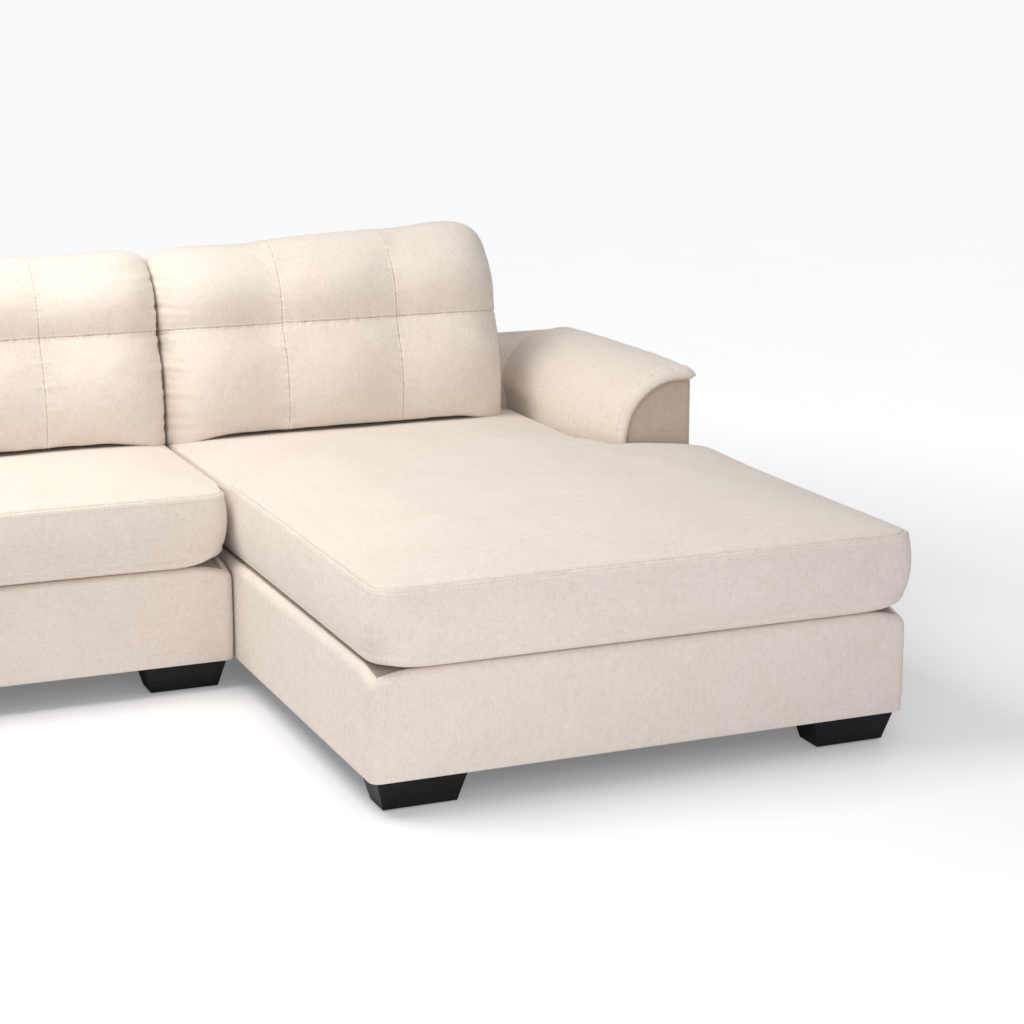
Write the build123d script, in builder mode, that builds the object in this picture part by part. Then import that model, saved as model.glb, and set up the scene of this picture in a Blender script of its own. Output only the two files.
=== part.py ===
"""Corner sofa: a seat module with the left arm and a chaise module with the right arm, hooked together.

Millimetres. +X runs along the back towards the chaise, +Y to the rear, +Z up. The origin is on the
floor under the middle of the overall box.
"""

import os
from math import atan, cos, sin

from build123d import *

os.makedirs("parts", exist_ok=True)

# Modules, measured over their padded bases
CHAISE_WIDTH = 1148
CHAISE_LENGTH = 1705
SOFA_WIDTH = 1090
SOFA_DEPTH = 830
MODULE_GAP = 4
BASE_HEIGHT = 210
BORDER = 18
BORDER_ROUND = 12
BORDER_TOP_ROUND = 16

# Legs and what holds them
LEG_HEIGHT = 70
LEG_FOOT_LENGTH = 150
LEG_FOOT_WIDTH = 70
LEG_TAPER = 18
LEG_INSET = 14
GLIDE_THICKNESS = 3
GLIDE_DIAMETER = 30
GLIDE_SPACING = 90
BOLT_DIAMETER = 8
BOLT_CLEARANCE = 0.3
BOLT_IN_LEG = 40
BOLT_HEAD_DIAMETER = 18
BOLT_HEAD_HEIGHT = 6
BLOCK_LENGTH = 150
BLOCK_WIDTH = 80
BLOCK_HEIGHT = 30
DUST_COVER = 1.5
DUST_COVER_INSET = 6

# Timber base frame, seat webbing and deck
RAIL = 22
CROSS_RAIL_HEIGHT = 110
SEAT_RAIL_SETBACK = 150
DECK = 22
SEAT_STRAP = 2
SEAT_STRAP_WIDTH = 70
SEAT_STRAP_SPACING = 110
CROSS_STRAP_SPACING = 160
CHAISE_BAYS = 3
FIT = 0.3

# Back frame
BACK_HEIGHT = 608
BACK_TOP_PAD = 22
BACK_TOP_ROUND = 9
TOP_RAIL = 18
POST_FOOT_DEPTH = 107
POST_HEAD_DEPTH = 57
POST_WIDTH = 25
POST_INSET = 45
STRAP = 2
STRAP_WIDTH = 60
STRAP_SPACING = 100
STRAP_COUNT = 3
INSIDE_BACK = 18

# Arms
ARM_HEIGHT = 599
ARM_CORE = 166
ARM_ROUND = 134
ARM_FACE = 14
ARM_FACE_ROUND = 4
ARM_BOARD = 18
ARM_STRETCHER = 22
ARM_STRETCHER_HEIGHT = 66
ARM_PAD = 36
ARM_PAD_NOSE = 10
ARM_PAD_FRONT = 22
ARM_PAD_REAR = 26
ARM_PAD_PROUD = 12
ARM_LIP = 7
ARM_INSET = 18
SOFA_ARM_SETBACK = 15
CHAISE_ARM_SETBACK = 60

# Seat cushions
SEAT_BOXING = 160
SEAT_CROWN = 32
SEAT_SHOULDER = 22
SEAT_OVERHANG = 16
SEAT_FOOT_DRAW = 14
SEAT_SEAM_DRAW = 6
SEAT_SHOULDER_DRAW = 110
SEAT_CROWN_DRAW = 230
SEAT_REAR_SHOULDER_DRAW = 260
SEAT_CROWN_REACH = 470
SEAT_SIDE_DRAW = 4
SEAT_CORNER = 45
SEAT_NOTCH_CORNER = 12
SOFT_GAP = 2

# Back cushions, sewn into two rows of three panels
BACK_COLUMNS = 3
SOFA_BACK_GAP = 9
CHAISE_BACK_GAP = 66
SOFA_PILLOW_HEIGHT = 424
CHAISE_PILLOW_INNER_HEIGHT = 420
CHAISE_PILLOW_OUTER_HEIGHT = 464
BACK_CUSHION_DEPTH = 240
BACK_SEAM_HEIGHT = 232
BACK_PUFF = 26
BACK_SEAM_DIP = 13
BACK_SEAM_DRAW = 8
BACK_SEAM_DROP = 2
BACK_FOOT_LIFT = 6
BACK_SHOULDER = 40
BACK_SHOULDER_DROP = 18
BACK_SHOULDER_DRAW = 22
BACK_END_DROP = 66
BACK_END_DRAW = 85
BACK_END_PUFF = 4
INNER_SHOULDER_DROP = 2
INNER_SHOULDER_DRAW = 10
INNER_END_DROP = 14
INNER_END_DRAW = 50
BACK_REAR_DROP = 75
BACK_FRONT_DROP = 50
BACK_FRONT_DRAW = 40
BACK_TOE = 14
BACK_TOE_DROP = 20

# Plates that link the modules
LINK_PLATE = 3
LINK_WIDTH = 50
LINK_REACH = 34
LINK_END_INSET = 120
PIN_DIAMETER = 8
PIN_HEIGHT = 14
PIN_CLEARANCE = 0.4
SCREW_DIAMETER = 4
SCREW_LENGTH = 20
SCREW_HEAD_DIAMETER = 8
SCREW_HEAD_HEIGHT = 2
SCREW_SPACING = 30

# Levels
BASE_TOP = LEG_HEIGHT + BASE_HEIGHT
RAIL_TOP = BASE_TOP - DECK - 2 * SEAT_STRAP
BLOCK_TOP = LEG_HEIGHT + BLOCK_HEIGHT
BACK_CAP = BACK_HEIGHT - BACK_TOP_PAD
POST_TOP = BACK_CAP - TOP_RAIL
SEAT_SEAM = BASE_TOP + SEAT_BOXING
SEAT_REAR_CROWN_DRAW = SOFA_DEPTH - SEAT_CROWN_REACH

# Datum lines, so that the overall box sits evenly about the origin
OVERALL_WIDTH = SOFA_WIDTH + MODULE_GAP + CHAISE_WIDTH + SEAT_OVERHANG
OVERALL_LENGTH = SEAT_OVERHANG + CHAISE_LENGTH
SOFA_LEFT = -OVERALL_WIDTH / 2
SOFA_RIGHT = SOFA_LEFT + SOFA_WIDTH
CHAISE_LEFT = SOFA_RIGHT + MODULE_GAP
CHAISE_RIGHT = CHAISE_LEFT + CHAISE_WIDTH
CHAISE_FRONT = SEAT_OVERHANG - OVERALL_LENGTH / 2
REAR = CHAISE_FRONT + CHAISE_LENGTH
SOFA_FRONT = REAR - SOFA_DEPTH
SOFA_ARM_FRONT = SOFA_FRONT + SOFA_ARM_SETBACK
CHAISE_ARM_FRONT = SOFA_FRONT + CHAISE_ARM_SETBACK
SEAT_RAIL_FRONT = REAR - SEAT_RAIL_SETBACK - RAIL
SOFA_ARM_OUTER = SOFA_LEFT + ARM_INSET
CHAISE_ARM_OUTER = CHAISE_RIGHT - ARM_INSET
SOFA_SEAT_LEFT = SOFA_ARM_OUTER + ARM_CORE + ARM_PAD + SOFT_GAP
CHAISE_SEAT_RIGHT = CHAISE_ARM_OUTER - ARM_CORE - ARM_PAD - SOFT_GAP

# Lean of the back, taken at the front of its posts
POST_FOOT = REAR - BORDER - POST_FOOT_DEPTH
POST_HEAD = REAR - BORDER - POST_HEAD_DEPTH
BACK_SLOPE = (POST_HEAD - POST_FOOT) / (POST_TOP - BASE_TOP)
LEAN = atan(BACK_SLOPE)
FORWARD = (0, -cos(LEAN), sin(LEAN))
LEG_TOP_LENGTH = LEG_FOOT_LENGTH + 2 * LEG_TAPER
LEG_TOP_WIDTH = LEG_FOOT_WIDTH + 2 * LEG_TAPER


def mid(span):
    return (span[0] + span[1]) / 2


def size(span):
    return span[1] - span[0]


def back_line(z, offset):
    """Y of a line lying in front of the leaning posts by an offset square to them."""
    return POST_FOOT + BACK_SLOPE * (z - BASE_TOP) - offset / cos(LEAN)


def save(piece, label):
    piece.part.label = label
    export_step(piece.part, f"parts/{label}.step")


def boards(label, spans):
    """Plain boards or panels, each given by its X, Y and Z spans."""
    with BuildPart() as piece:
        for x, y, z in spans:
            with BuildSketch(Plane.XY.offset(z[0])):
                with Locations((mid(x), mid(y))):
                    Rectangle(size(x), size(y))
            extrude(amount=size(z))
    save(piece, label)


def leg_centres(x, y):
    """Middle of each leg: front left, front right, rear left, rear right."""
    in_x = LEG_INSET + LEG_TOP_LENGTH / 2
    in_y = LEG_INSET + LEG_TOP_WIDTH / 2
    return [
        (x[0] + in_x, y[0] + in_y),
        (x[1] - in_x, y[0] + in_y),
        (x[0] + in_x, y[1] - in_y),
        (x[1] - in_x, y[1] - in_y),
    ]


def borders(name, x, y, outer_x):
    """Padded borders round the base; the outside back closes the rear."""
    with BuildPart() as front:
        with BuildSketch(Plane.XY.offset(LEG_HEIGHT)) as plan:
            with Locations((mid(x), y[0] + BORDER / 2)):
                Rectangle(size(x), BORDER)
            fillet(plan.vertices().group_by(Axis.Y)[0], BORDER_ROUND)
        extrude(amount=BASE_HEIGHT)
        top_edges = front.faces().sort_by(Axis.Z)[-1].edges().sort_by(Axis.Y)
        fillet(top_edges[:-1], BORDER_TOP_ROUND)
    save(front, f"{name}_front_border")

    with BuildPart() as sides:
        for x_side in (x[0] + BORDER / 2, x[1] - BORDER / 2):
            at_outer_end = abs(x_side - outer_x) < BORDER
            run = (y[0] + BORDER, y[1] if at_outer_end else y[1] - BORDER)
            with BuildSketch(Plane.XY.offset(LEG_HEIGHT)):
                with Locations((x_side, mid(run))):
                    Rectangle(BORDER, size(run))
            extrude(amount=BASE_HEIGHT)
        long_edges = sides.edges().filter_by(Axis.Y).group_by(Axis.Z)[-1].sort_by(Axis.X)
        fillet([long_edges[0], long_edges[-1]], BORDER_TOP_ROUND)
    save(sides, f"{name}_side_borders")


def legs(name, x, y):
    """Tapered block legs, their bolts and glides, and the blocks inside the base they bolt to."""
    centres = leg_centres(x, y)
    corners = ("front_left", "front_right", "rear_left", "rear_right")
    for corner, centre in zip(corners, centres):
        with BuildPart() as leg:
            with BuildSketch(Plane.XY.offset(GLIDE_THICKNESS)):
                with Locations(centre):
                    Rectangle(LEG_FOOT_LENGTH, LEG_FOOT_WIDTH)
            with BuildSketch(Plane.XY.offset(LEG_HEIGHT)):
                with Locations(centre):
                    Rectangle(LEG_TOP_LENGTH, LEG_TOP_WIDTH)
            loft(ruled=True)
            with BuildSketch(Plane.XY.offset(LEG_HEIGHT)):
                with Locations(centre):
                    Circle(BOLT_DIAMETER / 2 + BOLT_CLEARANCE)
            extrude(amount=-BOLT_IN_LEG - FIT, mode=Mode.SUBTRACT)
        save(leg, f"{name}_leg_{corner}")

    with BuildPart() as bolts:
        with BuildSketch(Plane.XY.offset(LEG_HEIGHT - BOLT_IN_LEG)):
            with Locations(*centres):
                Circle(BOLT_DIAMETER / 2)
        extrude(amount=BOLT_IN_LEG + BLOCK_HEIGHT)
        with BuildSketch(Plane.XY.offset(BLOCK_TOP)):
            with Locations(*centres):
                Circle(BOLT_HEAD_DIAMETER / 2)
        extrude(amount=BOLT_HEAD_HEIGHT)
    save(bolts, f"{name}_leg_bolts")

    with BuildPart() as glides:
        with BuildSketch():
            for step in (-GLIDE_SPACING / 2, GLIDE_SPACING / 2):
                with Locations(*[(cx + step, cy) for cx, cy in centres]):
                    Circle(GLIDE_DIAMETER / 2)
        extrude(amount=GLIDE_THICKNESS)
    save(glides, f"{name}_leg_glides")

    in_x = BORDER + RAIL + BLOCK_LENGTH / 2
    in_y = BORDER + RAIL + BLOCK_WIDTH / 2
    with BuildPart() as blocks:
        with BuildSketch(Plane.XY.offset(LEG_HEIGHT)):
            for block_x in (x[0] + in_x, x[1] - in_x):
                with Locations((block_x, y[0] + in_y), (block_x, y[1] - in_y)):
                    Rectangle(BLOCK_LENGTH, BLOCK_WIDTH)
            with Locations(*centres):
                Circle(BOLT_DIAMETER / 2 + BOLT_CLEARANCE, mode=Mode.SUBTRACT)
        extrude(amount=BLOCK_HEIGHT)
    save(blocks, f"{name}_leg_blocks")


def dust_cover(name, x, y):
    """Thin cloth stapled under the rails, cut away round the legs."""
    with BuildPart() as cover:
        with BuildSketch(Plane.XY.offset(LEG_HEIGHT - DUST_COVER)):
            with Locations((mid(x), mid(y))):
                Rectangle(size(x) - 2 * DUST_COVER_INSET, size(y) - 2 * DUST_COVER_INSET)
            with Locations(*leg_centres(x, y)):
                Rectangle(LEG_TOP_LENGTH + 2 * FIT, LEG_TOP_WIDTH + 2 * FIT, mode=Mode.SUBTRACT)
            with Locations(*[link for link in LINKS[name]]):
                Rectangle(LINK_CUT, LINK_WIDTH + 2 * FIT, mode=Mode.SUBTRACT)
        extrude(amount=DUST_COVER)
    save(cover, f"{name}_dust_cover")


def seat_webbing(name, x, y):
    """Elastic straps from front to rear, with cross straps lying over them from rail to rail."""
    rows = int(size(x) // SEAT_STRAP_SPACING)
    cross_rows = int((size(y) - 2 * RAIL - SEAT_STRAP_WIDTH) // CROSS_STRAP_SPACING)
    with BuildPart() as webbing:
        with BuildSketch(Plane.XY.offset(RAIL_TOP)):
            with Locations((mid(x), mid(y))):
                with GridLocations(SEAT_STRAP_SPACING, 0, rows, 1):
                    Rectangle(SEAT_STRAP_WIDTH, size(y))
        extrude(amount=SEAT_STRAP)
        with BuildSketch(Plane.XY.offset(RAIL_TOP + SEAT_STRAP)):
            with Locations((mid(x), mid(y))):
                with GridLocations(0, CROSS_STRAP_SPACING, 1, cross_rows):
                    Rectangle(size(x), SEAT_STRAP_WIDTH)
        extrude(amount=SEAT_STRAP)
    save(webbing, f"{name}_seat_webbing")


def side_rails(name, x, y, link_x, links):
    """End rails, the linking one bored from below for its plate screws and pins."""
    rail_y = (y[0] + BORDER + RAIL, y[1] - BORDER - RAIL)
    with BuildPart() as rails:
        for rail_x in (x[0] + BORDER + RAIL / 2, x[1] - BORDER - RAIL / 2):
            with BuildSketch(Plane.XY.offset(LEG_HEIGHT)):
                with Locations((rail_x, mid(rail_y))):
                    Rectangle(RAIL, size(rail_y))
            extrude(amount=RAIL_TOP - LEG_HEIGHT)
        with BuildSketch(Plane.XY.offset(LEG_HEIGHT)):
            for _, link_y in links:
                with Locations((link_x, link_y - SCREW_SPACING / 2), (link_x, link_y + SCREW_SPACING / 2)):
                    Circle(SCREW_DIAMETER / 2 + FIT)
        extrude(amount=SCREW_LENGTH, mode=Mode.SUBTRACT)
        if name == "chaise":
            with BuildSketch(Plane.XY.offset(LEG_HEIGHT)):
                with Locations(*[(link_x, link_y) for _, link_y in links]):
                    Circle(PIN_DIAMETER / 2 + PIN_CLEARANCE)
            extrude(amount=PIN_HEIGHT, mode=Mode.SUBTRACT)
    save(rails, f"{name}_side_rails")


def back(name, x, panel_x, straight_end):
    """Back frame of a module: posts, top rail, webbing, inner and outer panels and the top pad."""
    post_places = (x[0] + POST_INSET, mid(x) - POST_WIDTH / 2, x[1] - POST_INSET - POST_WIDTH)
    rail_front = REAR - BORDER - RAIL
    with BuildPart() as frame:
        for post_x in post_places:
            with BuildSketch(Plane.YZ.offset(post_x)):
                with BuildLine():
                    Polyline(
                        (rail_front, BLOCK_TOP),
                        (POST_FOOT, BLOCK_TOP),
                        (POST_FOOT, BASE_TOP),
                        (POST_HEAD, POST_TOP),
                        (REAR - BORDER, POST_TOP),
                        (REAR - BORDER, RAIL_TOP),
                        (rail_front, RAIL_TOP),
                        close=True,
                    )
                make_face()
            extrude(amount=POST_WIDTH)
        with BuildSketch(Plane.XY.offset(POST_TOP)):
            with Locations((mid(straight_end), (back_line(BACK_CAP, 0) + REAR - BORDER) / 2)):
                Rectangle(size(straight_end), REAR - BORDER - back_line(BACK_CAP, 0))
        extrude(amount=TOP_RAIL)
    save(frame, f"{name}_back_frame")

    strap_x = (post_places[0], post_places[-1] + POST_WIDTH)
    middle = (BASE_TOP + POST_TOP) / 2
    with BuildPart() as webbing:
        centre = (mid(strap_x), back_line(middle, 0), middle)
        with BuildSketch(Plane(origin=centre, x_dir=(1, 0, 0), z_dir=FORWARD)):
            with GridLocations(0, STRAP_SPACING, 1, STRAP_COUNT):
                Rectangle(size(strap_x), STRAP_WIDTH)
        extrude(amount=STRAP)
    save(webbing, f"{name}_back_webbing")

    with BuildPart() as inside:
        with BuildSketch(Plane.YZ.offset(straight_end[0])):
            with BuildLine():
                Polyline(
                    (back_line(BASE_TOP, STRAP), BASE_TOP),
                    (back_line(BASE_TOP, STRAP + INSIDE_BACK), BASE_TOP),
                    (back_line(BACK_CAP, STRAP + INSIDE_BACK), BACK_CAP),
                    (back_line(BACK_CAP, STRAP), BACK_CAP),
                    close=True,
                )
            make_face()
        extrude(amount=size(straight_end))
    save(inside, f"{name}_inside_back")

    boards(f"{name}_outside_back", [(panel_x, (REAR - BORDER, REAR), (LEG_HEIGHT, BACK_CAP))])

    pad_front = back_line(BACK_HEIGHT, STRAP + INSIDE_BACK)
    with BuildPart() as top_pad:
        with BuildSketch(Plane.YZ.offset(straight_end[0])) as end:
            with Locations(((pad_front + REAR) / 2, BACK_CAP + BACK_TOP_PAD / 2)):
                Rectangle(REAR - pad_front, BACK_TOP_PAD)
            fillet(end.vertices(), BACK_TOP_ROUND)
        extrude(amount=size(straight_end))
    save(top_pad, f"{name}_back_top_pad")


def arm(name, hand, x_outer, y_front):
    """Arm: profile boards and stretchers, outer panel, front panel, and the pad over top and inside."""
    board_front = y_front + ARM_FACE
    board_rear = SEAT_RAIL_FRONT + RAIL - ARM_BOARD
    flat = ARM_CORE - ARM_ROUND
    with BuildPart() as frame:
        for board_y in (board_front, board_rear):
            with BuildSketch(Plane(origin=(x_outer, board_y, 0), x_dir=(-hand, 0, 0), z_dir=(0, hand, 0))):
                with BuildLine():
                    Polyline((BORDER, RAIL_TOP), (BORDER, ARM_HEIGHT), (flat, ARM_HEIGHT))
                    TangentArc((flat, ARM_HEIGHT), (ARM_CORE, ARM_HEIGHT - ARM_ROUND), tangent=(1, 0))
                    Polyline((ARM_CORE, ARM_HEIGHT - ARM_ROUND), (ARM_CORE, RAIL_TOP), (BORDER, RAIL_TOP))
                make_face()
            extrude(amount=hand * ARM_BOARD)
        stretchers = (
            ((BORDER, BORDER + ARM_STRETCHER), (RAIL_TOP, RAIL_TOP + ARM_STRETCHER_HEIGHT)),
            ((BORDER, BORDER + ARM_STRETCHER), (ARM_HEIGHT - 2 * ARM_STRETCHER, ARM_HEIGHT - ARM_STRETCHER)),
            ((ARM_CORE - ARM_STRETCHER, ARM_CORE), (BASE_TOP, BASE_TOP + ARM_STRETCHER)),
        )
        for across, up in stretchers:
            with BuildSketch(Plane.XZ.offset(-board_front - ARM_BOARD)):
                with Locations((x_outer - hand * mid(across), mid(up))):
                    Rectangle(size(across), size(up))
            extrude(amount=board_front + ARM_BOARD - board_rear)
    save(frame, f"{name}_arm_frame")

    with BuildPart() as outer:
        with BuildSketch(Plane.XY.offset(BASE_TOP)):
            with Locations((x_outer - hand * BORDER / 2, (board_front + REAR - BORDER) / 2)):
                Rectangle(BORDER, REAR - BORDER - board_front)
        extrude(amount=ARM_HEIGHT - BASE_TOP)
    save(outer, f"{name}_arm_outer_panel")

    with BuildPart() as face:
        with BuildSketch(Plane(origin=(x_outer, y_front, 0), x_dir=(-hand, 0, 0), z_dir=(0, hand, 0))):
            with BuildLine():
                Polyline((0, BASE_TOP), (0, ARM_HEIGHT), (flat, ARM_HEIGHT))
                TangentArc((flat, ARM_HEIGHT), (ARM_CORE, ARM_HEIGHT - ARM_ROUND), tangent=(1, 0))
                Polyline((ARM_CORE, ARM_HEIGHT - ARM_ROUND), (ARM_CORE, BASE_TOP), (0, BASE_TOP))
            make_face()
        extrude(amount=hand * ARM_FACE)
        fillet(face.faces().sort_by(Axis.Y)[0].edges(), ARM_FACE_ROUND)
    save(face, f"{name}_arm_front_panel")

    pad_rear = back_line(BACK_CAP, STRAP + INSIDE_BACK)
    nose = ((y_front - ARM_PAD_PROUD, ARM_PAD_NOSE), (y_front, ARM_PAD_FRONT))
    length = ((y_front, ARM_PAD_FRONT), ((y_front + pad_rear) / 2, ARM_PAD), (pad_rear, ARM_PAD_REAR))
    with BuildPart() as pad:
        for stations in (nose, length):
            for y, thick in stations:
                with BuildSketch(Plane(origin=(x_outer, y, 0), x_dir=(-hand, 0, 0), z_dir=(0, hand, 0))):
                    with BuildLine():
                        Line((flat, BASE_TOP + FIT), (-ARM_LIP, ARM_HEIGHT))
                        TangentArc(
                            (thick - ARM_LIP, ARM_HEIGHT + thick),
                            (-ARM_LIP, ARM_HEIGHT),
                            tangent=(-1, 0),
                        )
                        Line((thick - ARM_LIP, ARM_HEIGHT + thick), (flat, ARM_HEIGHT + thick))
                        TangentArc(
                            (flat, ARM_HEIGHT + thick),
                            (ARM_CORE + thick, ARM_HEIGHT - ARM_ROUND),
                            tangent=(1, 0),
                        )
                        Line((ARM_CORE + thick, ARM_HEIGHT - ARM_ROUND), (ARM_CORE + thick, BASE_TOP + FIT))
                        Line((ARM_CORE + thick, BASE_TOP + FIT), (flat, BASE_TOP + FIT))
                    make_face()
            loft()
        core_start = y_front - ARM_PAD_PROUD
        with BuildSketch(Plane(origin=(x_outer, core_start, 0), x_dir=(-hand, 0, 0), z_dir=(0, hand, 0))):
            with BuildLine():
                Polyline((-2 * ARM_LIP, 0), (-2 * ARM_LIP, ARM_HEIGHT), (flat, ARM_HEIGHT))
                TangentArc((flat, ARM_HEIGHT), (ARM_CORE, ARM_HEIGHT - ARM_ROUND), tangent=(1, 0))
                Polyline((ARM_CORE, ARM_HEIGHT - ARM_ROUND), (ARM_CORE, 0), (-2 * ARM_LIP, 0))
            make_face()
        extrude(amount=hand * (REAR - core_start), mode=Mode.SUBTRACT)
        back_face = Plane(
            origin=(x_outer, back_line(BASE_TOP, STRAP + INSIDE_BACK + FIT), BASE_TOP),
            x_dir=(1, 0, 0),
            z_dir=FORWARD,
        )
        split(bisect_by=back_face, keep=Keep.TOP)
    save(pad, f"{name}_arm_pad")


def seat_cushion(name, corners, notch):
    """Boxed seat cushion: barrel-sided boxing up to the seam, then a crowned top.

    Each corner is its X and Y and the way its two sides draw in.
    """
    boxing = (
        (BASE_TOP + FIT, SEAT_FOOT_DRAW, SEAT_FOOT_DRAW),
        (BASE_TOP + SEAT_BOXING / 2, 0, 0),
        (SEAT_SEAM, SEAT_SEAM_DRAW, SEAT_SEAM_DRAW),
    )
    crown = (
        (SEAT_SEAM, SEAT_SEAM_DRAW, SEAT_SEAM_DRAW),
        (SEAT_SEAM + SEAT_SHOULDER, SEAT_SHOULDER_DRAW, SEAT_REAR_SHOULDER_DRAW),
        (SEAT_SEAM + SEAT_CROWN, SEAT_CROWN_DRAW, SEAT_REAR_CROWN_DRAW),
    )
    rear = max(py for _, py, _, _ in corners)
    with BuildPart() as cushion:
        for levels in (boxing, crown):
            for z, draw, rear_draw in levels:
                points = [
                    (px + way_x * draw, py + way_y * (rear_draw if py == rear else draw))
                    for px, py, way_x, way_y in corners
                ]
                deep = max(py for _, py in points) - min(py for _, py in points)
                corner = min(SEAT_CORNER, deep / 2 - SEAT_SIDE_DRAW)
                with BuildSketch(Plane.XY.offset(z)) as outline:
                    with BuildLine():
                        for start, end in zip(points, points[1:] + points[:1]):
                            along_x = end[0] - start[0]
                            along_y = end[1] - start[1]
                            run = (along_x**2 + along_y**2) ** 0.5
                            middle = (
                                (start[0] + end[0]) / 2 - SEAT_SIDE_DRAW * along_y / run,
                                (start[1] + end[1]) / 2 + SEAT_SIDE_DRAW * along_x / run,
                            )
                            ThreePointArc(start, middle, end)
                    make_face()
                    if notch:
                        inner = (notch[0] - draw, notch[1] - draw)
                        by_nearness = outline.vertices().sort_by_distance(inner)
                        fillet(by_nearness[0], SEAT_NOTCH_CORNER)
                        outer_corners = [
                            v for v in outline.vertices()
                            if any(abs(v.X - p[0]) + abs(v.Y - p[1]) < FIT for p in points)
                        ]
                        fillet(outer_corners, corner)
                    else:
                        fillet(outline.vertices(), corner)
            loft()
    save(cushion, f"{name}_seat_cushion")


def back_cushion(name, x, heights, inner_first):
    """Back cushion: three columns, each a plump loft between sewn seams, with a seam across them."""
    outer_end = (BACK_END_DROP, BACK_END_DRAW, BACK_END_PUFF)
    outer_shoulder = (BACK_SHOULDER_DROP, BACK_SHOULDER_DRAW, BACK_PUFF / 2)
    inner_end = (INNER_END_DROP, INNER_END_DRAW, BACK_END_PUFF)
    inner_shoulder = (INNER_SHOULDER_DROP, INNER_SHOULDER_DRAW, BACK_PUFF / 2)
    left_end, left_shoulder = (inner_end, inner_shoulder) if inner_first else (outer_end, outer_shoulder)
    right_end, right_shoulder = (outer_end, outer_shoulder) if inner_first else (inner_end, inner_shoulder)
    full = (0, 0, BACK_PUFF)
    seam = (BACK_SEAM_DROP, BACK_SEAM_DRAW, BACK_PUFF / 3)
    width = size(x) / BACK_COLUMNS
    foot_z = SEAT_SEAM + BACK_FOOT_LIFT
    foot_y = back_line(foot_z, STRAP + INSIDE_BACK + FIT)
    with BuildPart() as cushion:
        for column in range(BACK_COLUMNS):
            left = x[0] + column * width
            stations = [(left, seam), (left + width / 2, full), (left + width, seam)]
            if column == 0:
                stations[:1] = [(left, left_end), (left + BACK_SHOULDER, left_shoulder)]
            if column == BACK_COLUMNS - 1:
                stations[-1:] = [(left + width - BACK_SHOULDER, right_shoulder), (left + width, right_end)]
            for along, (drop, draw, puff) in stations:
                high = heights[0] + (heights[1] - heights[0]) * (along - x[0]) / size(x) - drop
                deep = BACK_CUSHION_DEPTH - draw
                rear_top = (0, high - BACK_REAR_DROP)
                front_top = (deep - BACK_FRONT_DRAW, high - BACK_FRONT_DROP)
                seam_line = (deep - BACK_SEAM_DIP, BACK_SEAM_HEIGHT)
                toe = (deep - BACK_TOE, -BACK_TOE_DROP)
                upper_puff = (deep + puff - BACK_TOE, (front_top[1] + BACK_SEAM_HEIGHT) / 2)
                lower_puff = (deep + puff, BACK_SEAM_HEIGHT / 2)
                with BuildSketch(Plane(origin=(along, foot_y, foot_z), x_dir=FORWARD, z_dir=(-1, 0, 0))):
                    with BuildLine():
                        Line((0, 0), rear_top)
                        ThreePointArc(rear_top, (deep / 3, high), front_top)
                        ThreePointArc(front_top, upper_puff, seam_line)
                        ThreePointArc(seam_line, lower_puff, toe)
                        Line(toe, (0, 0))
                    make_face()
            loft()
    save(cushion, f"{name}_back_cushion")


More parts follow.
